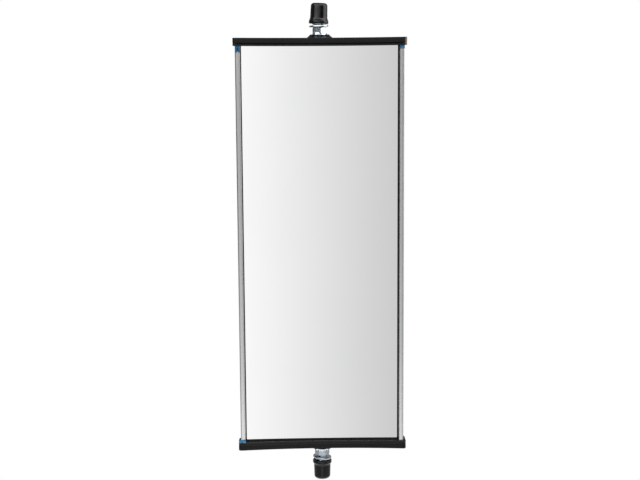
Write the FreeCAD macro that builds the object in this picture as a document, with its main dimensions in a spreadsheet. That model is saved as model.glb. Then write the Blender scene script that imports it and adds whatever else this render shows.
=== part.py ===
"""Heavy-duty rear-view mirror head: glass in a stainless and black plastic housing, hung on a stud at each end.

Frame: +Z up along the studs, the glass faces -Y, the origin is the middle of the head on the studs' axis.
Lengths are in millimetres. Every size comes from the sheet "dims".
"""
import FreeCAD, Part
import os

DIMS = {
    # housing, outside
    "head_height": 406.4, "end_cap_width": 167.2, "head_depth": 28.0, "front_reach": 14.0, "side_reach": 3.0,
    # moulded end caps
    "lip_height": 7.8, "cap_roof": 2.5, "cap_front_wall": 1.6, "cap_side_wall": 1.6, "cap_back_wall": 2.0,
    "ledge_depth": 4.1, "ledge_width": 152.4, "top_bow": 0.5, "bottom_bow": 1.0,
    "boss_base": 13.0, "boss_top": 9.4, "boss_height": 2.8, "stud_hole": 4.2,
    # folded stainless side channels and back shell
    "channel_span": 163.6, "channel_front": 12.2, "channel_back": 1.0, "rail_length": 401.0, "gauge": 0.8,
    "front_flange": 5.4, "back_flange": 7.0, "hem_end": 9.9,
    "shell_arc_width": 147.6, "shell_edge_width": 161.4, "shell_back": 11.8, "shell_edge": 0.1,
    # glass, gasket and what backs them
    "glass_width": 156.6, "glass_height": 393.6, "glass_thick": 3.0, "glass_front": 9.3, "glass_sag": 0.6,
    "gasket_width": 158.2, "gasket_height": 395.2, "gasket_back": 5.2, "window_width": 150.0,
    "window_height": 391.8, "gasket_lip": 0.55, "slot_play": 0.1,
    "foam_width": 137.6, "foam_height": 380.0, "foam_back": 3.2,
    "board_width": 160.6, "board_height": 393.6, "board_back": 0.7,
    # spine between the studs
    "spine_width": 30.0, "spine_plate": 2.0, "spine_back": 9.8, "spine_flange": 3.0, "tab_front": 6.0,
    "flange_length": 370.0,
    # studs, 5/16-18
    "stud_radius": 3.969, "stud_end": 31.0, "stud_point": 0.8, "stud_head": 5.0, "stud_head_thick": 1.5,
    "relief_start": 19.5, "relief_length": 0.9, "relief_depth": 0.35, "bore_play": 0.05,
    # nuts and flat washers
    "nut_flats": 12.7, "nut_height": 6.75, "washer_radius": 9.2, "washer_bore": 4.4, "washer_thick": 1.6,
    "top_nut_gap": 2.3, "bottom_nut_gap": 3.1,
    # soft covers over the clamp nuts
    "nut_bare": 1.95, "cover_length": 19.1, "skirt_rim": 9.45, "skirt_band": 3.1, "skirt_neck": 2.0,
    "skirt_waist": 8.35, "cover_waist": 8.25, "cover_tip": 8.0, "cover_wall": 1.35, "cover_end_wall": 1.4,
    "cover_round": 2.8, "nut_pocket": 5.2, "nut_pocket_radius": 7.7,
    # scraps of protective film left on the channels
    "film_thick": 0.15, "film_tuck": 0.2, "film_inset": 0.6,
}

TOP_NUT_TURN = 37.0       # degrees: a corner of the top lock nut faces forwards, a little to the right
BOTTOM_NUT_TURN = -2.0    # a flat of the bottom lock nut faces forwards
CLAMP_NUT_TURN = -11.0    # the clamp nuts stopped at no special angle
TOP_WASHER_TILT = -2.0    # degrees about Y
BOTTOM_WASHER_TILT = 5.5
FILMS = {  # name: side of the head, end of the head, width and height of the scrap
    "film_top_left": (-1, 1, 4.2, 5.6),
    "film_top_right": (1, 1, 3.2, 3.8),
    "film_bottom_left": (-1, -1, 4.4, 3.0),
}

doc = FreeCAD.newDocument("mirror_head")
sheet = doc.addObject("Spreadsheet::Sheet", "dims")
for row, (alias, value) in enumerate(DIMS.items(), start=1):
    sheet.set(f"A{row}", alias)
    sheet.set(f"B{row}", str(value))
    sheet.setAlias(f"B{row}", alias)
doc.recompute()

subparts = []


def with_dims(formula):
    """The formula with each alias written as a cell of the sheet."""
    for alias in sorted(DIMS, key=len, reverse=True):
        formula = formula.replace(f"${alias}", f"dims.{alias}")
    return formula


def bind(obj, **formulas):
    """Binds properties of an object to formulas of the sheet's cells; x, y and z are its place."""
    for name, formula in formulas.items():
        target = f"Placement.Base.{name}" if name in ("x", "y", "z") else name
        obj.setExpression(target, with_dims(formula))
    return obj


def box(name, x, y, z, size):
    """A box from its lowest corner, with size as its three sides."""
    obj = doc.addObject("Part::Box", name)
    return bind(obj, x=x, y=y, z=z, Length=size[0], Width=size[1], Height=size[2])


def cylinder(name, radius, height, x="0", y="0", z="0"):
    obj = doc.addObject("Part::Cylinder", name)
    return bind(obj, x=x, y=y, z=z, Radius=radius, Height=height)


def cone(name, low, high, height, z="0"):
    obj = doc.addObject("Part::Cone", name)
    return bind(obj, z=z, Radius1=low, Radius2=high, Height=height)


def fuse(name, shapes):
    obj = doc.addObject("Part::MultiFuse", name)
    obj.Shapes = shapes
    return obj


def common(name, shapes):
    obj = doc.addObject("Part::MultiCommon", name)
    obj.Shapes = shapes
    return obj


def cut(name, base, tool):
    obj = doc.addObject("Part::Cut", name)
    obj.Base = base
    obj.Tool = tool
    return obj


def subpart(obj, label):
    """Names the finished object and lists it for export."""
    obj.Label = label
    subparts.append(obj)
    return obj


def at_end(obj, end, spin=0.0, tilt=0.0, out="0"):
    """Stands a piece drawn from the end cap's face outwards on the top (+1) or the bottom (-1) of the head."""
    up = FreeCAD.Rotation(FreeCAD.Vector(0, 1, 0), 0 if end > 0 else 180)
    lean = FreeCAD.Rotation(FreeCAD.Vector(0, 1, 0), tilt)
    turn = FreeCAD.Rotation(FreeCAD.Vector(0, 0, 1), spin)
    obj.Placement = FreeCAD.Placement(FreeCAD.Vector(0, 0, 0), up * lean * turn)
    sign = "" if end > 0 else "-"
    return bind(obj, z=f"{sign}($head_height / 2 + {out})")


def end_word(end):
    return "top" if end > 0 else "bottom"


def plan_slab(name, half_width, front, side_back, back, low, height):
    """A slab with a straight front and sides and a back that is one arc from side to side."""
    rise = f"({back} - {side_back})"
    radius = f"(({half_width})^2 + {rise}^2) / (2 * {rise})"
    block = box(name + "_block", f"-({half_width})", f"-({front})", low,
                (f"2 * ({half_width})", f"({front}) + ({back})", height))
    arc = cylinder(name + "_arc", radius, height, y=f"{back} - {radius}", z=low)
    return common(name, [block, arc])


def bowed(name, shape, bow, low):
    """Sags a cap's roof and its lip's edge towards the glass in the middle, each as one arc."""
    radius = f"($end_cap_width^2 / (8 * ${bow}))"
    depth = "2 * $head_depth"
    tools = []
    for part, centre in (("lip", f"{low} + {radius} - ${bow}"), ("roof", f"{radius} - ${bow}")):
        tool = doc.addObject("Part::Cylinder", f"{name}_{part}_arc")
        tool.Placement = FreeCAD.Placement(FreeCAD.Vector(0, 0, 0), FreeCAD.Rotation(FreeCAD.Vector(1, 0, 0), 90))
        bind(tool, y="$head_depth", z=centre, Radius=radius, Height=depth)
        tools.append(tool)
    return cut(name, common(name + "_kept", [shape, tools[0]]), tools[1])


def end_cap(end):
    """Black moulded cap: a shallow cup over the ends of the channels and shell, with a boss for the stud."""
    name = end_word(end) + "_end_cap"
    bow = end_word(end) + "_bow"
    low = "-$lip_height"
    outer = plan_slab(name + "_outer", "$end_cap_width / 2", "$front_reach", "$side_reach",
                      "$head_depth - $front_reach", f"{low} - ${bow}", f"$lip_height + ${bow}")
    outer = bowed(name + "_bowed", outer, bow, low)
    boss = cone(name + "_boss", "$boss_base", "$boss_top", "$boss_height + 1", z="-1")
    hollow = plan_slab(name + "_hollow", "$end_cap_width / 2 - $cap_side_wall", "$front_reach - $cap_front_wall",
                       "$side_reach - $cap_back_wall / 2", "$head_depth - $front_reach - $cap_back_wall",
                       f"{low} - 2 * ${bow}", f"$lip_height + 2 * ${bow} - $cap_roof")
    ledge = box(name + "_ledge", "-$ledge_width / 2", "-$front_reach", f"{low} - 2 * ${bow}",
                ("$ledge_width", "$ledge_depth", f"$lip_height + 2 * ${bow}"))
    hole = cylinder(name + "_hole", "$stud_hole", "3 * $boss_height + $cap_roof", z="-2 * $cap_roof")
    hollow = fuse(name + "_removed", [cut(name + "_cup", hollow, ledge), hole])
    at_end(subpart(cut(name, fuse(name + "_solid", [outer, boss]), hollow), name), end)


def side_channel(side, name):
    """Stainless sheet folded round the edge: web, front flange with a hem back to the gasket, and back flange."""
    def strip(part, near, far, front, back):
        """A strip of the section, from near to far inside the outer face, front to back."""
        x = f"$channel_span / 2 - {far}" if side > 0 else f"-$channel_span / 2 + {near}"
        return box(f"{name}_{part}", x, f"-({front})", "-$rail_length / 2",
                   (f"{far} - {near}", f"({front}) + ({back})", "$rail_length"))
    web = strip("web", "0", "$gauge", "$channel_front", "$channel_back")
    flange = strip("flange", "0", "$front_flange", "$channel_front", "$gauge - $channel_front")
    hem = strip("hem", "($front_flange - $gauge)", "$front_flange", "$channel_front", "-$hem_end")
    rear = strip("rear", "0", "$back_flange", "$gauge - $channel_back", "$channel_back")
    subpart(fuse(name, [web, flange, hem, rear]), name)


def back_shell():
    """Stainless back, one arc from side to side, with flat edges tucked into the channels."""
    half = "($shell_arc_width / 2)"
    rise = "($shell_back - $shell_edge)"
    radius = f"(({half}^2 + {rise}^2) / (2 * {rise}))"
    low = "-$rail_length / 2"
    outer = cylinder("shell_outer", radius, "$rail_length", y=f"$shell_back - {radius}", z=low)
    inner = cylinder("shell_inner", f"{radius} - $gauge", "$rail_length", y=f"$shell_back - {radius}", z=low)
    window = box("shell_window", f"-{half}", "$shell_edge - $gauge", low,
                 ("$shell_arc_width", "$shell_back - $shell_edge + $gauge", "$rail_length"))
    pieces = [common("shell_arc", [cut("shell_tube", outer, inner), window])]
    width = "(($shell_edge_width - $shell_arc_width) / 2 + $gauge)"
    for word, x in (("left", "-$shell_edge_width / 2"), ("right", f"$shell_edge_width / 2 - {width}")):
        pieces.append(box(f"shell_{word}_edge", x, "$shell_edge - $gauge", low, (width, "$gauge", "$rail_length")))
    subpart(fuse("back_shell", pieces), "back_shell")


def crowned(name, radius_less, width, height, front, back):
    """The part of a block that lies inside the glass's curve, drawn in by radius_less."""
    radius = "(($glass_width^2 / 4 + $glass_sag^2) / (2 * $glass_sag))"
    block = box(name + "_block", f"-{width} / 2", f"-({front})", f"-{height} / 2",
                (width, f"({front}) - ({back})", height))
    curve = cylinder(name + "_curve", f"{radius} - {radius_less}", height, y=f"{radius} - $glass_front",
                     z=f"-{height} / 2")
    return common(name, [block, curve])


def glass_and_backing():
    """Mirror glass with a very long cylindrical curve, in a rubber gasket, pressed forward by foam on a board."""
    reach = "$glass_front - $glass_thick - $glass_sag"
    front = crowned("glass_front_side", "0", "$glass_width", "$glass_height", "$glass_front", reach)
    behind = crowned("glass_behind", "$glass_thick", "$glass_width", "$glass_height", "$glass_front", reach)
    subpart(cut("mirror_glass", front, behind), "mirror_glass")

    frame = box("gasket_frame", "-$gasket_width / 2", "-$hem_end", "-$gasket_height / 2",
                ("$gasket_width", "$hem_end - $gasket_back", "$gasket_height"))
    window = box("gasket_window", "-$window_width / 2", "-$front_reach", "-$window_height / 2",
                 ("$window_width", "$front_reach", "$window_height"))
    slot = box("gasket_slot", "-$glass_width / 2 - $slot_play", "$gasket_lip - $hem_end",
               "-$glass_height / 2 - $slot_play",
               ("$glass_width + 2 * $slot_play", "$glass_thick + $glass_sag + $slot_play",
                "$glass_height + 2 * $slot_play"))
    subpart(cut("glazing_gasket", frame, fuse("gasket_removed", [window, slot])), "glazing_gasket")

    foam = crowned("foam_pad", "$glass_thick", "$foam_width", "$foam_height", "$glass_front", "$foam_back")
    subpart(foam, "foam_pad")

    board = box("backing_board", "-$board_width / 2", "-$foam_back", "-$board_height / 2",
                ("$board_width", "$foam_back - $board_back", "$board_height"))
    subpart(board, "backing_board")


def spine():
    """Steel channel behind the board, its ends folded forwards into the tabs that carry the studs."""
    roof = "($head_height / 2 - $cap_roof)"
    web = box("spine_web", "-$spine_width / 2", "$spine_back - $spine_plate", f"-{roof}",
              ("$spine_width", "$spine_plate", f"2 * {roof}"))
    pieces = [web]
    for word, x in (("left", "-$spine_width / 2"), ("right", "$spine_width / 2 - $spine_plate")):
        pieces.append(box(f"spine_{word}_flange", x, "$spine_flange", "-$flange_length / 2",
                          ("$spine_plate", "$spine_back - $spine_flange", "$flange_length")))
    holes = []
    for word, low in (("top", f"{roof} - $spine_plate"), ("bottom", f"-{roof}")):
        pieces.append(box(f"spine_{word}_tab", "-$spine_width / 2", "-$tab_front", low,
                          ("$spine_width", "$tab_front + $spine_back", "$spine_plate")))
        holes.append(cylinder(f"spine_{word}_hole", "$stud_radius + $bore_play", "3 * $spine_plate",
                              z=f"{low} - $spine_plate"))
    subpart(cut("spine", fuse("spine_folded", pieces), fuse("spine_holes", holes)), "spine")


def stud(end):
    """Stud with a welded head under the spine's tab; a narrow relief marks off the free end."""
    name = end_word(end) + "_stud"
    under_tab = "-($cap_roof + $spine_plate)"
    head = cylinder(name + "_head", "$stud_head", "$stud_head_thick", z=f"{under_tab} - $stud_head_thick")
    shank = cylinder(name + "_shank", "$stud_radius", f"$stud_end - $stud_point - {under_tab}", z=under_tab)
    point = cone(name + "_point", "$stud_radius", "$stud_radius - $stud_point", "$stud_point",
                 z="$stud_end - $stud_point")
    ring = cylinder(name + "_ring", "2 * $stud_radius", "$relief_length", z="$relief_start")
    core = cylinder(name + "_core", "$stud_radius - $relief_depth", "$relief_length", z="$relief_start")
    relief = cut(name + "_relief", ring, core)
    at_end(subpart(cut(name, fuse(name + "_turned", [head, shank, point]), relief), name), end)


def nut(end, kind, out, spin):
    name = f"{end_word(end)}_{kind}_nut"
    prism = doc.addObject("Part::Prism", name + "_hex")
    prism.Polygon = 6
    bind(prism, Circumradius="$nut_flats / sqrt(3)", Height="$nut_height")
    bore = cylinder(name + "_bore", "$stud_radius + $bore_play", "2 * $nut_height", z="-$nut_height / 2")
    at_end(subpart(cut(name, prism, bore), name), end, spin=spin, out=out)


def flat_washer(end, tilt):
    """Washer lying loose between the two nuts, a little tilted, drawn about its own middle."""
    name = end_word(end) + "_flat_washer"
    disc = cylinder(name + "_disc", "$washer_radius", "$washer_thick", z="-$washer_thick / 2")
    bore = cylinder(name + "_bore", "$washer_bore", "2 * $washer_thick", z="-$washer_thick")
    middle = f"$boss_height + $nut_height + ${end_word(end)}_nut_gap / 2"
    at_end(subpart(cut(name, disc, bore), name), end, tilt=tilt, out=middle)


def nut_cover(end):
    """Soft moulded cover: a banded skirt pushed over the clamp nut and a closed, rounded tube over the stud's end."""
    name = end_word(end) + "_nut_cover"
    band = cylinder(name + "_band", "$skirt_rim", "$skirt_band")
    neck = cone(name + "_neck", "$skirt_rim", "$skirt_waist", "$skirt_neck", z="$skirt_band")
    tube = cone(name + "_tube", "$cover_waist", "$cover_tip", "$cover_length - $skirt_band", z="$skirt_band")
    solid = fuse(name + "_solid", [band, neck, tube])
    doc.recompute()
    rounded = doc.addObject("Part::Fillet", name + "_rounded")
    rounded.Base = solid
    highest = max(solid.Shape.Edges, key=lambda edge: edge.BoundBox.ZMin)
    number = [edge.isSame(highest) for edge in solid.Shape.Edges].index(True) + 1
    rounded.Edges = [(number, DIMS["cover_round"], DIMS["cover_round"])]
    over_nut = cylinder(name + "_over_nut", "$nut_pocket_radius", "$nut_pocket + 1", z="-1")
    over_stud = cylinder(name + "_over_stud", "$cover_waist - $cover_wall", "$cover_length - $cover_end_wall")
    hollow = fuse(name + "_hollow", [over_nut, over_stud])
    start = f"$boss_height + $nut_height + ${end_word(end)}_nut_gap + $nut_bare"
    at_end(subpart(cut(name, rounded, hollow), name), end, out=start)


def film_scraps():
    """Torn corners of protective film, still trapped between the channels' faces and the caps' lips."""
    scraps = []
    for name, (side, end, width, height) in FILMS.items():
        x = "$channel_span / 2 - $film_inset"
        x = f"{x} - {width}" if side > 0 else f"-({x})"
        edge = "($head_height / 2 - $lip_height + $film_tuck)"
        z = f"{edge} - {height}" if end > 0 else f"-{edge}"
        scraps.append(box(name, x, "-$channel_front - $film_thick", z, (str(width), "$film_thick", str(height))))
    subpart(fuse("film_scraps", scraps), "film_scraps")


glass_and_backing()
side_channel(-1, "left_channel")
side_channel(1, "right_channel")
back_shell()
spine()
for end, lock_turn, washer_tilt in ((1, TOP_NUT_TURN, TOP_WASHER_TILT), (-1, BOTTOM_NUT_TURN, BOTTOM_WASHER_TILT)):
    end_cap(end)
    stud(end)
    nut(end, "lock", "$boss_height", lock_turn)
    flat_washer(end, washer_tilt)
    nut(end, "clamp", f"$boss_height + $nut_height + ${end_word(end)}_nut_gap", CLAMP_NUT_TURN)
    nut_cover(end)
film_scraps()
doc.recompute()

failed = [obj.Name for obj in doc.Objects if {"Invalid", "Error"} & set(obj.State)]
bad = [obj.Label for obj in subparts if obj.Shape.isNull() or not obj.Shape.isValid() or not obj.Shape.Solids]
if failed or bad:
    raise SystemExit(f"failed features: {failed}, bad shapes: {bad}")
os.makedirs("parts", exist_ok=True)
for obj in subparts:
    obj.Shape.exportStep(f"parts/{obj.Label}.step")
    print(obj.Label, len(obj.Shape.Solids), round(obj.Shape.Volume / 1000, 2), "cm3", obj.Shape.BoundBox)
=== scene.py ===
"""Visual model of a heavy-vehicle mirror head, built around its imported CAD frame.

Lengths are in millimetres until a mesh is made, +Z is up along the studs and the glass faces -Y.
"""
import math
import bmesh
import bpy
from mathutils import Matrix, Vector, noise


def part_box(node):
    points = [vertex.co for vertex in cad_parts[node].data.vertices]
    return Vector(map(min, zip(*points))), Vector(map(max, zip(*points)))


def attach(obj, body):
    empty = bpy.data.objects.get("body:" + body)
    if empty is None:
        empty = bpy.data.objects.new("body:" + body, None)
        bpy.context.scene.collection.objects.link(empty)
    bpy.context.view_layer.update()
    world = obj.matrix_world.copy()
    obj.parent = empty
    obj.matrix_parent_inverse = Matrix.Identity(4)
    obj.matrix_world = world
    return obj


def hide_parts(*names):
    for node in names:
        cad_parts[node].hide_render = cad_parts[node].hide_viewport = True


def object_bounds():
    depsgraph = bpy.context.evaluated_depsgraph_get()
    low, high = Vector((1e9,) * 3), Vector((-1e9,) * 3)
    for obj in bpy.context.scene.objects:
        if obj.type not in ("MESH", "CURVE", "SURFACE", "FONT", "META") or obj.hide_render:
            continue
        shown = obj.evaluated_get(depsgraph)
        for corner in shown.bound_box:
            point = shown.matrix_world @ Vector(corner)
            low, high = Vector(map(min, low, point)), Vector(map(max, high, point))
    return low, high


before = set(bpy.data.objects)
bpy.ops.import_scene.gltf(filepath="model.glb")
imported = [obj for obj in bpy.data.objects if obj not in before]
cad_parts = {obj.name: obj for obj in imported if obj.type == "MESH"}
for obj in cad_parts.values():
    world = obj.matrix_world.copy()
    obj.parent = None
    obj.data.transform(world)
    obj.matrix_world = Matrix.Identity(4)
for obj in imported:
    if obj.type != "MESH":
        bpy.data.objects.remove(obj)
cad_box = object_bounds()

MM = 0.001
ENDS = (("top", 1), ("bottom", -1))
SIDES = (("left", -1), ("right", 1))

# camera
CAMERA_PLACE = (-31.0, -1224.0, 184.0)
CAMERA_TURN, CAMERA_DROP, CAMERA_ROLL = 1.41, 8.272, -0.369   # degrees
CAMERA_LENS = 70.6
FLOOR_DROP, FLOOR_RADIUS = 1200.0, 2200.0

ROUND = 96                                     # points round a turned piece

# end caps: the radius of the front corners, the walls, and how far the front wall reaches from lip to roof
CAP_CORNER, CORNER_LEAST, CORNER_STEPS = 3.0, 0.3, 7
CAP_FRONT_WALL, CAP_SIDE_WALL, CAP_BACK_WALL, CAP_ROOF = 1.6, 1.6, 2.0, 2.5
FRONT_HEIGHT = 7.8
# where the straight sides end, how much of an inset shortens them, how the edge to the back is eased, and how
# far the back's arc stops short of the sides
SIDE_REACH, SIDE_INSET, SIDE_EASE, ARC_SHORT = 3.0, 0.6, 0.1, 0.5
SIDE_PARTS = (0.25, 0.5, 0.75, 0.93)           # where a side has its points
# the thick middle part of the front wall, whose back the gasket lies behind, and where the front has its
# points, counted from that part's end
LEDGE_HALF, LEDGE_BACK = 76.2, -9.9
LEDGE_STEPS = (2.4, 0.1, -0.1, -4, -10, -18, -26)
# how far a cap's middle lies in from its ends, at the lip and at the roof, and how far the roof's ends
# stand out
BOW = {"top": (0.5, 0.5, 0.0), "bottom": (1.0, 1.6, 0.6)}
# how far in from the outline a cap's skin lies, at each height above the lip's edge
LIP_SKIN = ((0.95, 0.0), (0.64, 0.04), (0.45, 0.14), (0.23, 0.56), (0.05, 0.92), (0.0, 1.10), (0.03, 1.32),
            (0.16, 1.54))
GROOVE_SKIN = {"top": ((1.15, 2.10), (1.2, 2.22)), "bottom": ((0.34, 2.0), (0.36, 2.3))}
WALL_SKIN = ((0.30, 2.85), (0.17, 3.05), (0.12, 3.45), (0.10, 5.0), (0.08, 7.2), (0.11, 7.45), (0.20, 7.65),
             (0.36, 7.77), (0.60, 7.8))
GROOVE_FADE = 5.0                              # how far from a cap's ends its groove begins to fade
TROUGH = 1.9                                   # how deep the gap between the lip and the glass is
RIM_EASE, RIM_SHARE = 0.25, 0.12               # how the lip's inner edge is eased

# bosses: height, radius at the foot and at the top, where the front and the back are cut flat, and how far
# the front of the rim dips
BOSS_HEIGHT, BOSS_BASE, BOSS_TOP, BOSS_FLAT, BOSS_DIP = 2.8, 13.2, 9.4, 6.6, 0.9
STUD_HOLE, HOLE_EASE = 4.2, 0.25
ROOF_SHARES = (0.35, 0.75)                     # where the roof has its points between the edge and the boss
# the skin from the boss's foot to the bottom of its hole: radius, height over the roof, where it is cut flat,
# and its shares of the roof's bow and of the dip
BOSS_SKIN = ((BOSS_BASE, 0.0, BOSS_BASE, 1.0, 0.0),
             (BOSS_BASE - 1.0, 0.35, BOSS_BASE, 1.0, 0.0),
             (BOSS_TOP + 1.1, 1.6, BOSS_FLAT + 1.2, 0.5, 0.5),
             (BOSS_TOP + 0.15, BOSS_HEIGHT - 0.55, BOSS_FLAT, 0.0, 1.0),
             (BOSS_TOP - 0.1, BOSS_HEIGHT - 0.2, BOSS_FLAT - 0.2, 0.0, 1.0),
             (BOSS_TOP - 0.5, BOSS_HEIGHT, BOSS_FLAT - 0.6, 0.0, 1.0),
             (STUD_HOLE + HOLE_EASE, BOSS_HEIGHT, BOSS_BASE, 0.0, 0.0),
             (STUD_HOLE, BOSS_HEIGHT - HOLE_EASE, BOSS_BASE, 0.0, 0.0),
             (STUD_HOLE, -CAP_ROOF, BOSS_BASE, 0.0, 0.0))

# folded sheet: thickness, the rail's flange at the back and where its hem ends, the rail's outer and inner
# edges, and the bends' radii
GAUGE, BACK_FLANGE, HEM_BACK = 0.8, 7.0, -9.9
RAIL_EDGE, RAIL_INNER = {"left": 81.4, "right": 81.0}, 76.4
SHEET_BEND, HEM_BEND, CUT_EDGE = 1.0, 0.6, 0.72   # a cut edge is thinner by this factor
SHELL_ARC_HALF = 73.8

# glass and gasket: how far the gasket's opening reaches to the left, the right, the bottom and the top
GLASS_THICK, GLASS_SAG = 3.0, 0.6
WINDOW = (75.5, 74.9, 193.7, 195.9)
WINDOW_BOW = 0.8                               # how far the middle of its lower edge stands up
GASKET_CORNER, WINDOW_CORNER = 2.2, 0.6

# torn film: side, end, outer edge, width and height of each scrap, and whether it is tucked in or lies on
# the lip
FILMS = (("left", 1, 81.15, 5.0, 7.2, True), ("right", 1, 81.15, 4.4, 3.7, True),
         ("left", -1, 83.2, 7.0, 3.0, False))
FILM_THICK, FILM_TUCK, FILM_CLEAR, FILM_COLUMNS, FILM_ROWS = 0.1, 0.4, 0.03, 18, 16
TEAR_MEAN, TEAR_SWING = 0.86, 0.30             # a scrap's height, as a share of its full height
# how far below the lip a scrap comes loose and over what height, how far the wrinkles of a tucked one stand
# out, and how far the one on the lip stands out there and sinks back below
LOOSE_FROM, LOOSE_OVER, WRINKLE_OUT, LIP_OUT, LIP_SINK, SINK_LEAST = 0.3, 1.2, 0.75, 1.66, 1.1, 0.4

# threads and studs
PITCH, THREAD_DEPTH, THREAD_STEPS = 25.4 / 18, 0.78, 12
# shares of a pitch from the middle of the thread's crest to its end, and to where the root begins
CREST, ROOT = 0.09, 0.42
STUD_RADIUS, STUD_ROUND, THREAD_FROM = 3.969, 40, 2.7
STUD_HEAD = ((4.6, 0.0), (5.0, 0.3), (5.0, 1.5), (STUD_RADIUS, 1.55), (STUD_RADIUS, 2.5))
POINT_LONG, POINT_SLOPE, POINT_RADIUS, POINT_EASE = 1.1, 0.8, 2.6, 0.05

# nuts: width, rounding of the corners, and the angle and inner radius at which the corners are turned off
NUT_FLATS, NUT_CORNER_ROUND, NUT_CHAMFER, NUT_FACE, FLAT_STEPS = 12.7, 0.35, 34.0, 5.95, 10
BORE_CLEAR, BORE_EASE = 0.05, 0.5
# the lock nuts' conical foot: round at first, and then no further in than the hexagon
FOOT = ((7.15, -0.75), (7.3, -0.6), (7.3, -0.35), (7.1, 0.05), (6.8, 0.7))
FOOT_TOP = ((6.5, 1.4), (6.38, 1.9), (0.0, 1.92))
LOCK_NUT_TURN, CLAMP_NUT_TURN = {"top": 37.0, "bottom": -2.0}, -11.0

# washers, and how each one lies: shift to the right, tilt in degrees, shift outwards
WASHER_THICK, WASHER_BORE, WASHER_RADIUS = 1.6, 4.75, 9.2
WASHER_LIE = {"top": (-0.7, -2.0, 0.0), "bottom": (0.0, 5.5, 0.7)}

# covers: outer radii of the skirt's band, above it and at the tip, the tip's rounding, the end's thickness
COVER_BAND, COVER_WAIST, COVER_TIP, TIP_ROUND, COVER_END = 9.4, 8.32, 8.0, 2.8, 1.4
BAND_HEIGHT, TUBE_FROM, TUBE_STEPS, TIP_STEPS = 2.6, 5.5, 6, 8
# the mouth's radius and depth, the tube's inner radius, and the radii of the rings in the middle of the end
MOUTH, MOUTH_DEEP, TUBE_BORE, END_MIDDLE, END_CENTRE = 7.7, 5.2, 6.9, 2.4, 0.6
WOBBLE = 0.004                                 # unevenness of the dipped skin, as a share of its radius
# how each cover sits: shift to the right, tilt in degrees, how far its mouth comes down beyond the nut and
# the height of its neck
COVER_SIT = {"top": (-0.95, 2.3, 0.9, 4.55), "bottom": (0.0, 0.0, 0.0, 3.5)}


# ---------------------------------------------------------------- mesh helpers

def stack(rings, closed=False):
    """Points and faces of a skin over rings of equal length; closed joins the last ring to the first."""
    count = len(rings[0])
    points = [point for ring in rings for point in ring]
    faces = []
    for low in range(len(rings) if closed else len(rings) - 1):
        high = (low + 1) % len(rings)
        for at in range(count):
            after = (at + 1) % count
            faces.append((low * count + at, low * count + after, high * count + after, high * count + at))
    if not closed:
        faces.append(tuple(reversed(range(count))))
        faces.append(tuple(range((len(rings) - 1) * count, len(rings) * count)))
    return points, faces


def circle(radius, z, around=ROUND):
    """A ring of points round Z."""
    return [(radius * math.cos(math.tau * step / around), radius * math.sin(math.tau * step / around), z)
            for step in range(around)]


def blend(ring, other, share):
    """A ring of (x, y) that lies share of the way from one ring to another."""
    return [(x + (to_x - x) * share, y + (to_y - y) * share) for (x, y), (to_x, to_y) in zip(ring, other)]


def arc_radius(half, rise):
    """The radius of an arc from its half width and its rise."""
    return (half ** 2 + rise ** 2) / (2 * rise)


def extrude_pairs(pairs, low, high, steps=1):
    """A sheet's section, given as pairs of facing points (x, y), run from low to high along Z."""
    loop = [pair[0] for pair in pairs] + [pair[1] for pair in reversed(pairs)]
    rings = [[(x, y, low + (high - low) * step / steps) for x, y in loop] for step in range(steps + 1)]
    points, faces = stack(rings)
    faces = faces[:-2]
    count, last = len(loop), steps * len(loop)
    for at in range(len(pairs) - 1):
        end = (at, at + 1, count - 2 - at, count - 1 - at)
        faces.append(end)
        faces.append(tuple(reversed([last + number for number in end])))
    return points, faces


def rounded_path(corners, radii, steps=8):
    """The corners of a path with an arc at each inner one, as (point, normal) pairs."""
    points = [Vector(corners[0])]
    for before, corner, after, radius in zip(corners, corners[1:], corners[2:], radii):
        corner = Vector(corner)
        back, ahead = (Vector(before) - corner).normalized(), (Vector(after) - corner).normalized()
        half = back.angle(ahead) / 2
        centre = corner + (back + ahead).normalized() * radius / math.sin(half)
        start = corner + back * radius / math.tan(half) - centre
        turn = (math.pi - 2 * half) * (1 if back.x * ahead.y - back.y * ahead.x < 0 else -1)
        for step in range(steps + 1):
            angle = turn * step / steps
            points.append(centre + Vector((start.x * math.cos(angle) - start.y * math.sin(angle),
                                           start.x * math.sin(angle) + start.y * math.cos(angle))))
    points.append(Vector(corners[-1]))
    path = []
    for at, point in enumerate(points):
        along = points[min(at + 1, len(points) - 1)] - points[max(at - 1, 0)]
        path.append((point, Vector((-along.y, along.x)).normalized()))
    return path


def folded_sheet(corners, radii, gauge=GAUGE):
    """Pairs of facing points of a folded sheet, from the corners of its middle line."""
    pairs = []
    path = rounded_path(corners, radii)
    for at, (point, normal) in enumerate(path):
        half = gauge / 2 * (CUT_EDGE if at in (0, len(path) - 1) else 1.0)
        pairs.append((tuple(point + normal * half), tuple(point - normal * half)))
    return pairs


def frame_ring(left, right, bottom, top, y, corner, bow=0.0, steps=5, along=16):
    """A rounded rectangle in the XZ plane, reaching left, right, bottom and top of the middle.

    The middle of its lower edge stands up by bow.
    """
    ring = []
    for x, z, start in ((right - corner, top - corner, 0), (corner - left, top - corner, 90),
                        (corner - left, corner - bottom, 180), (right - corner, corner - bottom, 270)):
        for step in range(steps + 1):
            angle = math.radians(start + 90 * step / steps)
            ring.append((x + corner * math.cos(angle), y, z + corner * math.sin(angle)))
        if start == 180:
            first, last = corner - left, right - corner
            for step in range(1, along):
                share = step / along
                ring.append((first + (last - first) * share, y, 4 * bow * share * (1 - share) - bottom))
    return ring


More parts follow.
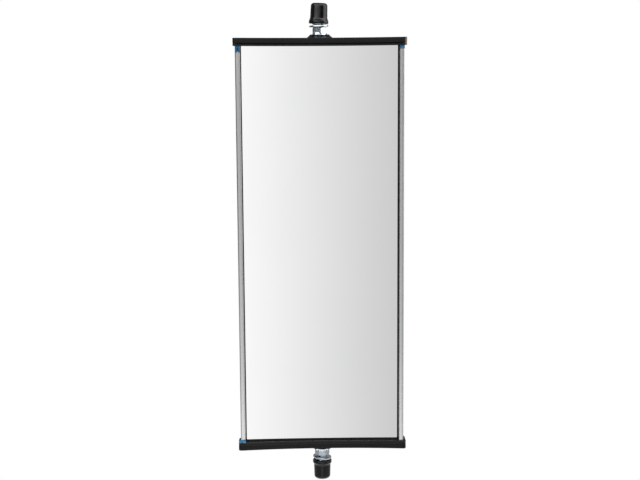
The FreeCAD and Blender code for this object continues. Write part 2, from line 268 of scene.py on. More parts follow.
def piece(name, points, faces, body, nodes, slot, smooth=30.0, place=None, look=None):
    """One visible piece: its mesh, body and slot, and its look where that isn't named as the slot."""
    mesh = bpy.data.meshes.new(name)
    place = place or Matrix.Identity(4)
    mesh.from_pydata([place @ Vector(point) * MM for point in points], [], faces)
    work = bmesh.new()
    work.from_mesh(mesh)
    bmesh.ops.recalc_face_normals(work, faces=work.faces)
    work.to_mesh(mesh)
    work.free()
    mesh.polygons.foreach_set("use_smooth", [True] * len(mesh.polygons))
    mesh.set_sharp_from_angle(angle=math.radians(smooth))
    mesh.materials.append(MATERIALS[look or slot])
    made = bpy.data.objects.new(name, mesh)
    bpy.context.scene.collection.objects.link(made)
    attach(made, body)
    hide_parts(*nodes)


def box_mm(node):
    """A node's lowest and highest corners, in millimetres."""
    low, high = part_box(node)
    return Vector(low) / MM, Vector(high) / MM


def along_end(node, up):
    """How near and how far a node reaches from the middle of the head, along its end's axis."""
    low, high = box_mm(node)
    return (low.z, high.z) if up > 0 else (-high.z, -low.z)


def at_end(up, out, spin=0.0, tilt=0.0, shift=0.0):
    """The place of a piece drawn from z = 0 outwards, on the top (+1) or the bottom (-1).

    It is turned by spin and tilt, in degrees, and shifted to the right.
    """
    return (Matrix.Translation((shift, 0, up * out)) @ Matrix.Rotation(0 if up > 0 else math.pi, 4, "Y")
            @ Matrix.Rotation(math.radians(tilt), 4, "Y") @ Matrix.Rotation(math.radians(spin), 4, "Z"))


# ---------------------------------------------------------------- materials

class Finish:
    """A material with one Principled shader, and short calls for the nodes that feed it."""

    def __init__(self, name, **values):
        self.material = bpy.data.materials.new(f"{name}_look")
        self.material.use_nodes = True
        self.tree = self.material.node_tree
        self.shader = self.tree.nodes["Principled BSDF"]
        self.place = self.tree.nodes.new("ShaderNodeTexCoord").outputs["Object"]
        for socket, value in values.items():
            self.shader.inputs[socket.replace("_", " ")].default_value = value

    def node(self, kind, inputs=None, **settings):
        made = self.tree.nodes.new(kind)
        for name, value in settings.items():
            setattr(made, name, value)
        for socket, value in (inputs or {}).items():
            if isinstance(value, bpy.types.NodeSocket):
                self.tree.links.new(value, made.inputs[socket])
            else:
                made.inputs[socket].default_value = value
        return made

    def stretched(self, x, y, z):
        return self.node("ShaderNodeMapping", {"Vector": self.place, "Scale": (x, y, z)}).outputs["Vector"]

    def noise(self, scale, detail=3.0, place=None, roughness=0.5):
        return self.node("ShaderNodeTexNoise", {"Vector": place or self.place, "Scale": scale,
                                                "Detail": detail, "Roughness": roughness}).outputs["Fac"]

    def cells(self, scale):
        return self.node("ShaderNodeTexVoronoi", {"Vector": self.place, "Scale": scale}).outputs["Distance"]

    def spread(self, value, low, high, start=0.3, end=0.7):
        """A value from start to end mapped to low to high."""
        return self.node("ShaderNodeMapRange", {"Value": value, "From Min": start, "From Max": end,
                                                "To Min": low, "To Max": high}).outputs["Result"]

    def mix(self, share, first, second, blend_type="MIX"):
        """Two colours mixed, or multiplied by one another."""
        return self.node("ShaderNodeMix", {"Factor": share, 6: first, 7: second}, data_type="RGBA",
                         blend_type=blend_type).outputs[2]

    def product(self, first, second):
        return self.node("ShaderNodeMath", {0: first, 1: second}, operation="MULTIPLY").outputs[0]

    def ramp(self, value, *stops):
        made = self.node("ShaderNodeValToRGB", {"Fac": value})
        elements = made.color_ramp.elements
        while len(elements) < len(stops):
            elements.new(0.5)
        for element, (position, colour) in zip(elements, stops):
            element.position = position
            element.color = (*colour, 1.0)
        return made.outputs["Color"]

    def feed(self, socket, value):
        self.tree.links.new(value, self.shader.inputs[socket])

    def relief(self, *layers):
        """Bump layers as (height, strength, distance in metres), one over another."""
        normal = None
        for height, strength, distance in layers:
            inputs = {"Height": height, "Strength": strength, "Distance": distance}
            if normal is not None:
                inputs["Normal"] = normal
            normal = self.node("ShaderNodeBump", inputs).outputs["Normal"]
        self.feed("Normal", normal)


def cap_plastic():
    finish = Finish("cap_plastic", Specular_IOR_Level=0.20)
    wide, fine = finish.noise(26.0, 4.0), finish.noise(2600.0, 2.0)
    black = finish.ramp(wide, (0.3, (0.0018, 0.0019, 0.0021)), (0.72, (0.0044, 0.0046, 0.005)))
    # painted highlight: the upper right end, where light from the right falls on its side wall, gets a light
    # tan colour broken up by scuff-like noise; its places are in metres
    place = finish.node("ShaderNodeSeparateXYZ", {0: finish.place}).outputs
    highlight_breakup = finish.spread(finish.noise(330.0, 5.0, None, 0.65), 0.35, 1.0)
    end = finish.product(finish.spread(place["X"], 0.0, 1.0, 0.0808, 0.0826),
                         finish.spread(place["Z"], 0.0, 1.0, -0.1, 0.1))
    # the tan colour mixed in here is a painted highlight on the upper right end
    finish.feed("Base Color", finish.mix(finish.product(end, highlight_breakup), black, (0.22, 0.165, 0.13, 1)))
    finish.feed("Roughness", finish.spread(finish.noise(140.0, 5.0), 0.32, 0.44))
    finish.relief((fine, 0.22, 0.00006), (finish.noise(420.0, 3.0), 0.12, 0.0001))
    return finish.material


def cover_vinyl():
    finish = Finish("cover_vinyl", Specular_IOR_Level=0.42)
    finish.feed("Base Color", finish.ramp(finish.noise(90.0), (0.3, (0.0010, 0.0010, 0.0012)),
                                          (0.7, (0.0030, 0.0030, 0.0034))))
    finish.feed("Roughness", finish.spread(finish.noise(300.0, 4.0), 0.13, 0.20))
    finish.relief((finish.noise(110.0, 2.0), 0.25, 0.0004), (finish.noise(1500.0, 2.0), 0.08, 0.00005))
    return finish.material


def brushed(name, *height_shade_stops):
    """Stainless steel brushed along Z, its base colour changed by height from the head's lower end (0) to its
    upper end (1); on the rails this is painted shade.
    """
    finish = Finish(name, Metallic=1.0, Anisotropic=0.35)
    grain = finish.noise(1.0, 3.0, finish.stretched(5200.0, 5200.0, 34.0), 0.6)
    scratch = finish.noise(1.0, 2.0, finish.stretched(1400.0, 1400.0, 7.0), 0.7)
    upward = finish.node("ShaderNodeSeparateXYZ", {0: finish.place}).outputs["Z"]
    # painted shade by height, put into the base colour
    painted_height_shade = finish.ramp(finish.spread(upward, 0.0, 1.0, -0.2, 0.2), *((at, (grey,) * 3) for at, grey in height_shade_stops))
    clouds = finish.ramp(finish.noise(7.0, 4.0, finish.stretched(6.0, 6.0, 1.4)),
                         (0.3, (0.93, 0.94, 0.94)), (0.7, (1.0, 1.0, 0.99)))
    finish.feed("Base Color", finish.mix(1.0, painted_height_shade, clouds, "MULTIPLY"))
    finish.feed("Roughness", finish.spread(grain, 0.22, 0.36))
    finish.relief((grain, 0.16, 0.00003), (scratch, 0.12, 0.00004))
    return finish.material


def stainless():
    # its base colour is slightly darker towards the top
    return brushed("stainless", (0.0, 0.66), (1.0, 0.62))


def rail_steel():
    # painted light: brightest at the lower end and much darker towards the top, standing in for the brighter
    # reflections low down on the rails
    return brushed("rail_steel", (0.0, 0.93), (0.2, 0.70), (0.5, 0.545), (1.0, 0.48))


def zinc_steel():
    finish = Finish("zinc_steel", Metallic=1.0)
    mottle = finish.noise(420.0, 5.0, None, 0.6)
    finish.feed("Base Color", finish.ramp(mottle, (0.3, (0.44, 0.52, 0.59)), (0.5, (0.60, 0.66, 0.71)),
                                          (0.72, (0.73, 0.75, 0.75))))
    finish.feed("Roughness", finish.spread(finish.noise(900.0, 4.0), 0.08, 0.19))
    finish.relief((finish.noise(2400.0, 3.0), 0.14, 0.00004))
    return finish.material


def mirror_glass():
    finish = Finish("mirror_glass", Metallic=1.0, Coat_Weight=0.3, Coat_Roughness=0.01)
    haze = finish.noise(9.0, 5.0, None, 0.6)
    finish.feed("Base Color", finish.ramp(haze, (0.3, (0.905, 0.915, 0.912)), (0.7, (0.925, 0.93, 0.927))))
    finish.feed("Roughness", finish.spread(finish.noise(38.0, 6.0, None, 0.65), 0.012, 0.04, 0.45, 0.8))
    return finish.material


def gasket_rubber():
    finish = Finish("gasket_rubber", Specular_IOR_Level=0.16)
    finish.feed("Base Color", finish.ramp(finish.noise(60.0), (0.3, (0.0022, 0.0022, 0.0022)),
                                          (0.7, (0.0052, 0.0052, 0.005))))
    finish.feed("Roughness", finish.spread(finish.noise(500.0, 4.0), 0.5, 0.68))
    finish.relief((finish.noise(1800.0, 2.0), 0.2, 0.00006))
    return finish.material


def film():
    finish = Finish("film", Specular_IOR_Level=0.3, Alpha=0.95)
    shade = finish.noise(260.0, 3.0)
    finish.feed("Base Color", finish.ramp(shade, (0.3, (0.003, 0.018, 0.055)), (0.5, (0.016, 0.105, 0.230)),
                                          (0.64, (0.045, 0.200, 0.340)), (0.8, (0.30, 0.52, 0.62))))
    finish.feed("Roughness", finish.spread(finish.noise(700.0, 3.0), 0.16, 0.35))
    finish.relief((finish.noise(620.0, 3.0), 0.35, 0.0003))
    return finish.material


def foam():
    finish = Finish("foam", Roughness=0.9)
    finish.feed("Base Color", finish.ramp(finish.cells(700.0), (0.1, (0.02, 0.02, 0.022)),
                                          (0.8, (0.14, 0.14, 0.15))))
    finish.relief((finish.cells(900.0), 0.6, 0.0005))
    return finish.material


def fibre_board():
    finish = Finish("fibre_board", Roughness=0.8)
    fibres = finish.noise(1.0, 6.0, finish.stretched(700.0, 700.0, 220.0), 0.7)
    finish.feed("Base Color", finish.ramp(fibres, (0.25, (0.20, 0.13, 0.075)), (0.75, (0.44, 0.33, 0.22))))
    finish.relief((fibres, 0.5, 0.0002))
    return finish.material


def spine_steel():
    finish = Finish("spine_steel", Coat_Weight=0.2)
    finish.feed("Base Color", finish.ramp(finish.noise(35.0, 4.0), (0.3, (0.014, 0.014, 0.016)),
                                          (0.7, (0.045, 0.045, 0.05))))
    finish.feed("Roughness", finish.spread(finish.noise(220.0, 4.0), 0.35, 0.6))
    finish.relief((finish.noise(380.0, 3.0), 0.3, 0.0002))
    return finish.material


MATERIALS = {make.__name__: make() for make in (
    cap_plastic, cover_vinyl, stainless, rail_steel, zinc_steel, mirror_glass, gasket_rubber, film, foam,
    fibre_board, spine_steel)}


# ---------------------------------------------------------------- end caps

def cap_outline(inset, half, front, back):
    """A cap's plan as a ring of (x, y): straight front and sides, round front corners and an arc behind."""
    corner = max(CAP_CORNER - inset, CORNER_LEAST)
    reach = half - CAP_CORNER
    edge_x, edge_y, side_end = half - inset, front - inset, SIDE_REACH - inset * SIDE_INSET
    # points at even angles round the boss, and a few further out
    near_boss = [front * math.tan(math.radians(angle)) for angle in range(-72, 73, 4)]
    outer = [reach] + [LEDGE_HALF + step for step in LEDGE_STEPS]
    across = sorted([-x for x in outer] + near_boss + outer)
    side = [corner - edge_y + (side_end + edge_y - corner) * share for share in SIDE_PARTS]

    def round_corner(x, start, steps):
        angles = [math.radians(start + 90 * step / CORNER_STEPS) for step in steps]
        y = corner - edge_y
        return [(x + corner * math.cos(angle), y + corner * math.sin(angle)) for angle in angles]

    ring = round_corner(corner - edge_x, 180, range(CORNER_STEPS))
    # the front's points keep their places, except for those near the corners
    ring += [(x * (edge_x - corner) / reach if abs(x) > LEDGE_HALF + 1 else x, -edge_y) for x in across]
    ring += round_corner(edge_x - corner, 270, range(1, CORNER_STEPS + 1))
    ring += [(edge_x, y) for y in side] + [(edge_x - SIDE_EASE, side_end - SIDE_EASE)]
    radius = arc_radius(half, back - SIDE_REACH)
    for x in reversed(across):
        x = x * (edge_x - ARC_SHORT) / reach
        ring.append((x, back - radius + math.sqrt((radius - inset) ** 2 - x * x)))
    return ring + [(SIDE_EASE - edge_x, side_end - SIDE_EASE)] + [(-edge_x, y) for y in reversed(side)]


def end_cap(end, up):
    """Moulded cap with a beaded lip, a rounded roof edge, a boss with its hole, and its hollow inside."""
    low, high = box_mm(f"{end}_end_cap")
    half, front, back = high.x, -low.y, high.y
    roof = along_end(f"{end}_end_cap", up)[1] - BOSS_HEIGHT
    lip = roof - FRONT_HEIGHT
    lip_bow, roof_bow, stand = BOW[end]
    wall_from = WALL_SKIN[0][1]

    def outline(inset):
        return cap_outline(inset, half, front, back)

    def grooved(inset):
        """An outline that reaches its inset only away from the cap's ends."""
        ring = []
        for (x, y), (deep_x, deep_y) in zip(outline(LIP_SKIN[-1][0]), outline(inset)):
            share = min(1.0, (half - abs(x)) / GROOVE_FADE)
            ring.append((x + (deep_x - x) * share, y + (deep_y - y) * share))
        return ring

    def bowed(ring, z):
        """A ring at a height, its middle drawn in, and its ends standing out towards the roof."""
        share = max(0.0, (z - lip - wall_from) / (FRONT_HEIGHT - wall_from))
        bow = lip_bow + (roof_bow - lip_bow) * share
        return [(x, y, z + stand * share - bow * (1 - min(abs(x) / half, 1) ** 2)) for x, y in ring]

    rings = [bowed(outline(inset), lip + height) for inset, height in LIP_SKIN]
    rings += [bowed(grooved(inset), lip + height) for inset, height in GROOVE_SKIN[end]]
    rings += [bowed(outline(inset), lip + height) for inset, height in WALL_SKIN]

    inner = outline(WALL_SKIN[-1][0])
    angles = [math.atan2(y, x) for x, y in inner]
    foot = [(BOSS_BASE * math.cos(angle), BOSS_BASE * math.sin(angle)) for angle in angles]
    rings += [bowed(blend(inner, foot, share), roof) for share in ROOF_SHARES]
    for radius, height, flat, bow_share, dip_share in BOSS_SKIN:
        z = roof + height - (roof_bow - stand) * bow_share
        ring = []
        for angle in angles:
            y = max(-flat, min(flat, radius * math.sin(angle)))
            ring.append((radius * math.cos(angle), y,
                         z - BOSS_DIP * dip_share * max(0.0, -math.sin(angle)) ** 2))
        rings.append(ring)

    wall = CAP_FRONT_WALL - front
    radius = arc_radius(half, back - SIDE_REACH) - CAP_BACK_WALL

    def hollow(x, y):
        """The inner side of the wall, across from a point of the outline."""
        x = max(CAP_SIDE_WALL - half, min(half - CAP_SIDE_WALL, x))
        if y < wall:
            return x, LEDGE_BACK if abs(x) < LEDGE_HALF else wall
        arc = back - CAP_BACK_WALL - radius + math.sqrt(radius ** 2 - x * x)
        return x, max(wall, min(y - CAP_BACK_WALL if y > SIDE_REACH else y, arc))

    cup = [hollow(x, y) for x, y in outline(0)]
    lip_wall = [(x, wall if y == LEDGE_BACK else y) for x, y in cup]
    rings += [bowed(cup, roof - CAP_ROOF), bowed(cup, lip + TROUGH), bowed(lip_wall, lip + TROUGH),
              bowed(lip_wall, lip + RIM_EASE), bowed(blend(lip_wall, outline(0), RIM_SHARE), lip)]
    points, faces = stack(rings, closed=True)
    piece(f"{end}_cap_moulding", points, faces, "head", [f"{end}_end_cap"], "cap_plastic", 35.0,
          Matrix.Scale(up, 4, (0, 0, 1)))


# ---------------------------------------------------------------- sheet metal, glass and gasket

def side_channel(side, sign):
    """Stainless sheet rolled over the head's edge, with its hem against the gasket."""
    low, high = box_mm(f"{side}_channel")
    edge, half = RAIL_EDGE[side], GAUGE / 2
    front, back = low.y + half, high.y - half
    inner = RAIL_INNER + half
    corners = [(inner, HEM_BACK), (inner, front), (edge - half, front), (edge - half, back),
               (edge - BACK_FLANGE, back)]
    pairs = folded_sheet([(sign * x, y) for x, y in corners], (HEM_BEND, SHEET_BEND, SHEET_BEND))
    points, faces = extrude_pairs(pairs, low.z, high.z, steps=12)
    piece(f"{side}_rail", points, faces, "head", [f"{side}_channel"], "stainless", 50.0,
          look="rail_steel")


def back_shell():
    """Stainless back: one smooth arc with a soft bend to a flat edge at each side."""
    low, high = box_mm("back_shell")
    half, crown, edge = SHELL_ARC_HALF, high.y - GAUGE / 2, low.y + GAUGE / 2
    radius = arc_radius(half, crown - edge)
    corners = [(low.x, edge)]
    steps = 40
    for step in range(steps + 1):
        x = -half + 2 * half * step / steps
        corners.append((x, crown - radius + math.sqrt(radius ** 2 - x * x)))
    corners.append((high.x, edge))
    pairs = []
    for at, point in enumerate(corners):
        along = Vector(corners[min(at + 1, len(corners) - 1)]) - Vector(corners[max(at - 1, 0)])
        normal = Vector((-along.y, along.x)).normalized() * GAUGE / 2
        pairs.append((tuple(Vector(point) + normal), tuple(Vector(point) - normal)))
    points, faces = extrude_pairs(pairs, low.z, high.z, steps=12)
    piece("rear_shell", points, faces, "head", ["back_shell"], "stainless", 40.0)


def glass():
    """Mirror glass with its very long cylindrical curve."""
    low, high = box_mm("mirror_glass")
    half = high.x
    radius = arc_radius(half, GLASS_SAG)
    steps = 60
    pairs = []
    for step in range(steps + 1):
        x = -half + 2 * half * step / steps
        curve = radius - math.sqrt(radius ** 2 - x * x)
        pairs.append(((x, low.y + curve), (x, min(low.y + curve + GLASS_THICK, high.y))))
    points, faces = extrude_pairs(pairs, low.z, high.z, steps=24)
    piece("mirror_pane", points, faces, "head", ["mirror_glass"], "mirror_glass", 40.0)


def gasket():
    """Rubber channel round the glass, with a rounded lip in front and a slot for the glass's edge."""
    low, high = box_mm("glazing_gasket")
    slot = high.x - box_mm("mirror_glass")[1].x
    # inset from the outside, share of the way from the slot's bottom to the opening, and y
    section = ((0.3, 0, low.y), (slot, 0.9, low.y), (slot, 0.97, low.y + 0.1), (slot, 1, low.y + 0.28),
               (slot, 0.975, low.y + 0.5), (slot, 0, low.y + 0.52), (slot, 0, high.y - 0.5),
               (slot, 0.5, high.y - 0.5), (slot, 0.5, high.y), (0.3, 0, high.y), (0, 0, high.y - 0.3),
               (0, 0, low.y + 0.3))
    rings = []
    for inset, share, y in section:
        reach = [outer - inset - share * (outer - slot - opening)
                 for outer, opening in zip((high.x, high.x, high.z, high.z), WINDOW)]
        corner = GASKET_CORNER + (WINDOW_CORNER - GASKET_CORNER) * share
        rings.append(frame_ring(*reach, y, corner, share * WINDOW_BOW))
    points, faces = stack(rings, closed=True)
    piece("gasket_lip", points, faces, "head", ["glazing_gasket"], "gasket_rubber", 40.0)


def film_scraps():
    """Torn corners of protective film, wrinkled and ragged, their square ends at the caps' lips."""
    face = box_mm("left_channel")[0].y
    lip = box_mm("top_end_cap")[1].z - BOSS_HEIGHT - FRONT_HEIGHT
    points, faces = [], []
    count = (FILM_ROWS + 1) * (FILM_COLUMNS + 1)

    def scrap_point(number, row, column, skin):
        """A point of a scrap, whose tear and wrinkles come from its own slice of the noise."""
        side, up, edge, wide, tall, tucked = FILMS[number]
        x = (-1 if side == "left" else 1) * (edge - wide * column / FILM_COLUMNS)
        tear = (noise.noise(Vector((x * 0.55, 7.3 * number, 2.1)))
                + 0.5 * noise.noise(Vector((x * 1.9, 3.1 * number, 5.7))))
        height = tall * (TEAR_MEAN + TEAR_SWING * tear) + FILM_TUCK
        z = lip + FILM_TUCK - height * row / FILM_ROWS
        loose = min(1.0, max(0.0, lip - LOOSE_FROM - z) / LOOSE_OVER)
        wrinkle = abs(noise.noise(Vector((x * 0.8 + z * 0.35, 11.0 * number, z * 0.45))))
        out = WRINKLE_OUT * loose * wrinkle if tucked else LIP_OUT - LIP_SINK * loose * (SINK_LEAST + wrinkle)
        return x, face - FILM_CLEAR - skin - out, up * z

    for number in range(len(FILMS)):
        first = len(points)
        points += [scrap_point(number, row, column, skin) for skin in (0.0, FILM_THICK)
                   for row in range(FILM_ROWS + 1) for column in range(FILM_COLUMNS + 1)]

        def at(skin, row, column):
            return first + skin * count + row * (FILM_COLUMNS + 1) + column

        for row in range(FILM_ROWS):
            for column in range(FILM_COLUMNS):
                quad = [(row, column), (row, column + 1), (row + 1, column + 1), (row + 1, column)]
                faces.append(tuple(at(0, *spot) for spot in quad))
                faces.append(tuple(at(1, *spot) for spot in reversed(quad)))
        border = [(0, column) for column in range(FILM_COLUMNS)]
        border += [(row, FILM_COLUMNS) for row in range(FILM_ROWS)]
        border += [(FILM_ROWS, column) for column in range(FILM_COLUMNS, 0, -1)]
        border += [(row, 0) for row in range(FILM_ROWS, 0, -1)]
        for spot, after in zip(border, border[1:] + border[:1]):
            faces.append((at(0, *spot), at(1, *spot), at(1, *after), at(0, *after)))
    piece("torn_film", points, faces, "head", ["film_scraps"], "film", 60.0)


# ---------------------------------------------------------------- studs, nuts, washers and covers

def thread_profile(phase):
    """Depth of a 60 degree thread, 0 at the crest and 1 at the root, over one pitch."""
    from_crest = min(phase % 1.0, 1 - phase % 1.0)
    return min(1.0, max(0.0, (from_crest - CREST) / (ROOT - CREST)))


def stud(end, up):
    """Threaded stud, with a chamfered point and its welded head inside the housing."""
    near, far = along_end(f"{end}_stud", up)
    rings = [circle(radius, near + height, STUD_ROUND) for radius, height in STUD_HEAD]
    start, stop = near + THREAD_FROM, far - POINT_EASE
    count = int((stop - start) / PITCH * THREAD_STEPS)
    for step in range(count + 1):
        z = start + (stop - start) * step / count
        point = STUD_RADIUS - max(0.0, z - (far - POINT_LONG)) * POINT_SLOPE
        ring = []
        for part in range(STUD_ROUND):
            angle = math.tau * part / STUD_ROUND
            phase = z / PITCH - part / STUD_ROUND
            radius = min(STUD_RADIUS - THREAD_DEPTH * thread_profile(phase), point)
            ring.append((radius * math.cos(angle), radius * math.sin(angle), z))
        rings.append(ring)
    rings.append(circle(POINT_RADIUS, far, STUD_ROUND))
    points, faces = stack(rings)
    piece(f"{end}_threaded_stud", points, faces, "head", [f"{end}_stud"], "zinc_steel", 40.0, at_end(up, 0))


def hexagon():
    """A hexagon with rounded corners, a corner on +X, as a ring of (x, y)."""
    reach = (NUT_FLATS / 2 - NUT_CORNER_ROUND) / math.cos(math.radians(30))

    def corner(turn, aside):
        """A point of the corner at turn degrees, up to 30 degrees aside from its middle."""
        turn, aside = math.radians(turn), math.radians(turn + aside)
        return (reach * math.cos(turn) + NUT_CORNER_ROUND * math.cos(aside),
                reach * math.sin(turn) + NUT_CORNER_ROUND * math.sin(aside))

    ring = []
    for turn in range(0, 360, 60):
        ring += [corner(turn, aside) for aside in (-30, -15, 0, 15, 30)]
        (x, y), (next_x, next_y) = ring[-1], corner(turn + 60, -30)
        ring += [(x + (next_x - x) * step / FLAT_STEPS, y + (next_y - y) * step / FLAT_STEPS)
                 for step in range(1, FLAT_STEPS)]
    return ring


def hex_nut(name, node, body, up, spin, foot=False, out=0.0):
    """Hexagonal nut with its corners turned off and an eased bore; out moves its inner end outwards."""
    near, far = along_end(node, up)
    near += out
    tall = far - near
    outline = hexagon()
    slope = math.tan(math.radians(NUT_CHAMFER))

    def scaled(radius, z, least=0.0):
        """The outline drawn in or out to a circle, but by no less than a share."""
        shares = [max(least, radius / math.hypot(x, y)) for x, y in outline]
        return [(x * share, y * share, z) for (x, y), share in zip(outline, shares)]

    def turned(z_face, into):
        return [(x, y, z_face + into * max(0.0, math.hypot(x, y) - NUT_FACE) * slope) for x, y in outline]

    bore = STUD_RADIUS + BORE_CLEAR
    rings = [scaled(bore, BORE_EASE), scaled(bore + BORE_EASE, 0)]
    if foot:
        rings += [scaled(*row) for row in FOOT] + [scaled(*row, 1.0) for row in FOOT_TOP]
    else:
        rings += [scaled(NUT_FACE, 0), turned(0.0, 1)]
    rings += [turned(tall, -1), scaled(NUT_FACE, tall), scaled(bore + BORE_EASE, tall),
              scaled(bore, tall - BORE_EASE)]
    points, faces = stack(rings, closed=True)
    piece(name, points, faces, body, [node], "zinc_steel", 17.0, at_end(up, near, spin))


def washer(end, up):
    """Stamped flat washer, rounded on one face and nearly sharp on the other, lying a little tilted."""
    low, high = box_mm(f"{end}_flat_washer")
    middle = abs(low.z + high.z) / 2
    half = WASHER_THICK / 2
    section = ((WASHER_BORE, 0.15 - half), (WASHER_BORE + 0.15, -half), (WASHER_RADIUS - 0.25, -half),
               (WASHER_RADIUS - 0.05, 0.12 - half), (WASHER_RADIUS, 0.35 - half), (WASHER_RADIUS, half - 0.6),
               (WASHER_RADIUS - 0.12, half - 0.25), (WASHER_RADIUS - 0.45, half - 0.04),
               (WASHER_RADIUS - 0.8, half), (WASHER_BORE + 0.5, half), (WASHER_BORE + 0.12, half - 0.15),
               (WASHER_BORE, half - 0.45))
    points, faces = stack([circle(radius, height) for radius, height in section], closed=True)
    shift, tilt, out = WASHER_LIE[end]
    piece(f"{end}_washer_disc", points, faces, f"{end}_washer", [f"{end}_flat_washer"], "zinc_steel", 35.0,
          at_end(up, middle + out, 0.0, tilt, shift))


def nut_cover(end, up):
    """Dipped vinyl cover: thick skirt band, short neck, slightly tapering tube and a rounded closed end."""
    near, far = along_end(f"{end}_nut_cover", up)
    shift, tilt, over, neck = COVER_SIT[end]
    near -= over
    lean = math.sin(math.radians(tilt))
    long = far - near - COVER_TIP * lean
    ceiling = long - COVER_END + (COVER_TIP + STUD_RADIUS) * lean
    deep = MOUTH_DEEP + over
    inside = [(END_CENTRE, ceiling), (TUBE_BORE - 0.7, ceiling - 0.2),
              (TUBE_BORE - 0.1, long - COVER_END - 1.0), (TUBE_BORE, deep + 0.4),
              (TUBE_BORE + 0.3, deep + 0.05), (MOUTH, deep)]
    skirt = [(MOUTH, 0.5), (MOUTH + 0.25, 0.12), (MOUTH + 0.5, 0.0), (COVER_BAND - 0.5, 0.0),
             (COVER_BAND - 0.14, 0.14), (COVER_BAND, 0.5), (COVER_BAND, BAND_HEIGHT),
             (COVER_BAND - 0.08, BAND_HEIGHT + 0.25), (COVER_BAND - 0.3, BAND_HEIGHT + 0.5),
             (COVER_WAIST + 0.35, neck), (COVER_WAIST + 0.08, neck + 0.45)]
    straight = long - TIP_ROUND
    tube = [(COVER_WAIST + (COVER_TIP - COVER_WAIST) * step / TUBE_STEPS,
             TUBE_FROM + (straight - TUBE_FROM) * step / TUBE_STEPS) for step in range(TUBE_STEPS + 1)]
    angles = [math.radians(90 * step / TIP_STEPS) for step in range(1, TIP_STEPS + 1)]
    tip = [(COVER_TIP - TIP_ROUND + TIP_ROUND * math.cos(angle), straight + TIP_ROUND * math.sin(angle))
           for angle in angles]
    profile = inside + skirt + tube + tip + [(END_MIDDLE, long), (END_CENTRE, long)]
    points, faces = stack([circle(radius, height) for radius, height in profile])
    soft = []
    for x, y, z in points:
        uneven = 0.0
        if math.hypot(x, y) > 2 * END_CENTRE:
            uneven = WOBBLE * noise.noise(Vector((x, y, z + 40 * up)) * 0.35)
        soft.append((x * (1 + uneven), y * (1 + uneven), z))
    piece(f"{end}_vinyl_cover", soft, faces, f"{end}_cover", [f"{end}_nut_cover"], "cover_vinyl", 50.0,
          at_end(up, near, 0.0, tilt, shift))


for end, up in ENDS:
    end_cap(end, up)
    stud(end, up)
    hex_nut(f"{end}_jam_nut", f"{end}_lock_nut", "head", up, LOCK_NUT_TURN[end], foot=True)
    washer(end, up)
    hex_nut(f"{end}_outer_nut", f"{end}_clamp_nut", f"{end}_nut", up, CLAMP_NUT_TURN, out=WASHER_LIE[end][2])
    nut_cover(end, up)
for side, sign in SIDES:
    side_channel(side, sign)
back_shell()
glass()
gasket()
film_scraps()
for node, slot in (("foam_pad", "foam"), ("backing_board", "fibre_board"), ("spine", "spine_steel")):
    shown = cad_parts[node]
    shown.data.materials.clear()
    shown.data.materials.append(MATERIALS[slot])


# ---------------------------------------------------------------- stage, light and camera

def stage_floor():
    """A plain white floor well below the hanging head."""
    bpy.ops.mesh.primitive_circle_add(vertices=ROUND, radius=FLOOR_RADIUS * MM, fill_type="NGON",
                                      location=(0, 0, cad_box[0][2] - FLOOR_DROP * MM))
    floor = bpy.context.object
    floor.name = "stage_floor"
    finish = Finish("floor_paint", Roughness=0.9, Specular_IOR_Level=0.1, Emission_Strength=0.6)
    finish.feed("Base Color", finish.ramp(finish.noise(0.8), (0.3, (0.5, 0.5, 0.5)),
                                          (0.7, (0.54, 0.54, 0.54))))
    finish.shader.inputs["Emission Color"].default_value = (1, 1, 1, 1)
    floor.data.materials.append(finish.material)


# brightness of the studio round the head, above its own height, a little below it and further down:
# azimuth in degrees from straight in front, to the right positive
STUDIO_HIGH = ((-180, 0.26), (-120, 0.18), (-72, 0.08), (-60, 1.9), (-34, 2.4), (-14, 1.4), (14, 0.5),
               (28, 0.07), (58, 0.07), (67, 2.4), (104, 2.4), (120, 0.4), (180, 0.26))
STUDIO_LOW = ((-180, 0.16), (-120, 0.12), (-72, 0.07), (-60, 0.06), (-30, 0.10), (-14, 0.6), (14, 0.5),
              (28, 0.07), (58, 0.07), (67, 1.9), (104, 1.9), (120, 0.45), (180, 0.16))
STUDIO_GROUND = ((-180, 0.45), (-30, 0.40), (-14, 0.6), (14, 0.45), (30, 0.42), (180, 0.45))
# the panel straight in front, which the glass shows, and how far its edges fade
FRONT_PANEL = ((-12, 1.28), (-3.1, 0.995), (1.8, 0.818), (4.6, 0.716), (6.7, 0.650), (14, 0.47))
PANEL_FADE = 4.0
# the height of a ray's direction where the ground ends, where the soft boxes begin, and where the front
# light overhead begins and ends
GROUND, HORIZON, OVERHEAD, CROWN = (-0.16, -0.09), (0.035, 0.115), (0.33, 0.42), (0.66, 0.80)
OVERHEAD_LEVEL, CROWN_LEVEL = 3.2, 0.5
OVERHEAD_FRONT = (-0.1, 0.3)                   # how far forwards a ray's direction has to point to meet it


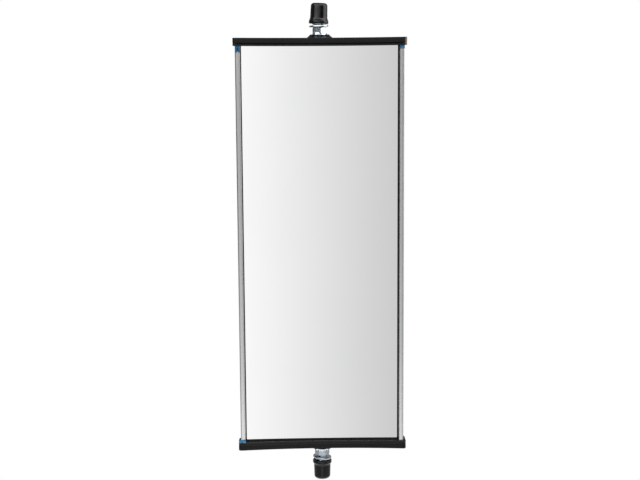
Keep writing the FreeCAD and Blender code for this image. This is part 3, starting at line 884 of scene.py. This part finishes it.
def studio_light():
    """White surroundings, and for light and reflections soft boxes at the left, the right and overhead."""
    world = bpy.data.worlds.new("studio")
    bpy.context.scene.world = world
    world.use_nodes = True
    tree = world.node_tree
    tree.nodes.clear()

    def node(kind, inputs=None, **settings):
        made = tree.nodes.new(kind)
        for name, value in settings.items():
            setattr(made, name, value)
        for socket, value in (inputs or {}).items():
            if isinstance(value, bpy.types.NodeSocket):
                tree.links.new(value, made.inputs[socket])
            else:
                made.inputs[socket].default_value = value
        return made

    def maths(operation, first, second):
        return node("ShaderNodeMath", {0: first, 1: second}, operation=operation).outputs[0]

    def rise(value, low, high):
        return node("ShaderNodeMapRange", {"Value": value, "From Min": low, "From Max": high},
                    interpolation_type="SMOOTHSTEP").outputs["Result"]

    def between(share, low, high):
        return node("ShaderNodeMix", {"Factor": share, 2: low, 3: high}, data_type="FLOAT").outputs[0]

    way = node("ShaderNodeSeparateXYZ", {0: node("ShaderNodeTexCoord").outputs["Generated"]}).outputs
    forward = maths("MULTIPLY", way["Y"], -1.0)
    azimuth = maths("ARCTAN2", way["X"], forward)

    def around(stops):
        first, last = stops[0][0], stops[-1][0]
        share = node("ShaderNodeMapRange", {"Value": azimuth, "From Min": math.radians(first),
                                            "From Max": math.radians(last)}).outputs["Result"]
        ramp = node("ShaderNodeValToRGB", {"Fac": share})
        peak = max(value for _, value in stops)
        elements = ramp.color_ramp.elements
        while len(elements) < len(stops):
            elements.new(0.5)
        for element, (angle, value) in zip(elements, stops):
            element.position = (angle - first) / (last - first)
            element.color = (value / peak, value / peak, value / peak, 1)
        return maths("MULTIPLY", ramp.outputs["Color"], peak)

    level = between(rise(way["Z"], *GROUND), around(STUDIO_GROUND), around(STUDIO_LOW))
    level = between(rise(way["Z"], *HORIZON), level, around(STUDIO_HIGH))
    left, right = (math.radians(FRONT_PANEL[at][0]) for at in (0, -1))
    fade = math.radians(PANEL_FADE)
    on_panel = maths("MULTIPLY", rise(azimuth, left, left + fade), rise(azimuth, right, right - fade))
    level = between(on_panel, level, around(FRONT_PANEL))
    in_front = maths("MULTIPLY", rise(way["Z"], *OVERHEAD), rise(forward, *OVERHEAD_FRONT))
    level = between(in_front, level, OVERHEAD_LEVEL)
    level = between(rise(way["Z"], *CROWN), level, CROWN_LEVEL)
    lit = node("ShaderNodeBackground", {"Color": level, "Strength": 1.0})
    seen = node("ShaderNodeBackground", {"Color": (1, 1, 1, 1), "Strength": 1.0})
    mix = node("ShaderNodeMixShader", {0: node("ShaderNodeLightPath").outputs["Is Camera Ray"],
                                       1: lit.outputs[0], 2: seen.outputs[0]})
    node("ShaderNodeOutputWorld", {"Surface": mix.outputs[0]})
    bpy.context.scene.view_settings.view_transform = "Standard"


def camera():
    lens = bpy.data.cameras.new("camera")
    lens.lens, lens.sensor_width = CAMERA_LENS, 36.0
    lens.clip_end = 50.0
    made = bpy.data.objects.new("camera", lens)
    made.matrix_world = (Matrix.Translation(Vector(CAMERA_PLACE) * MM)
                         @ Matrix.Rotation(math.radians(-CAMERA_TURN), 4, "Z")
                         @ Matrix.Rotation(math.radians(90 - CAMERA_DROP), 4, "X")
                         @ Matrix.Rotation(math.radians(CAMERA_ROLL), 4, "Z"))
    bpy.context.scene.collection.objects.link(made)
    bpy.context.scene.camera = made


stage_floor()
studio_light()
camera()
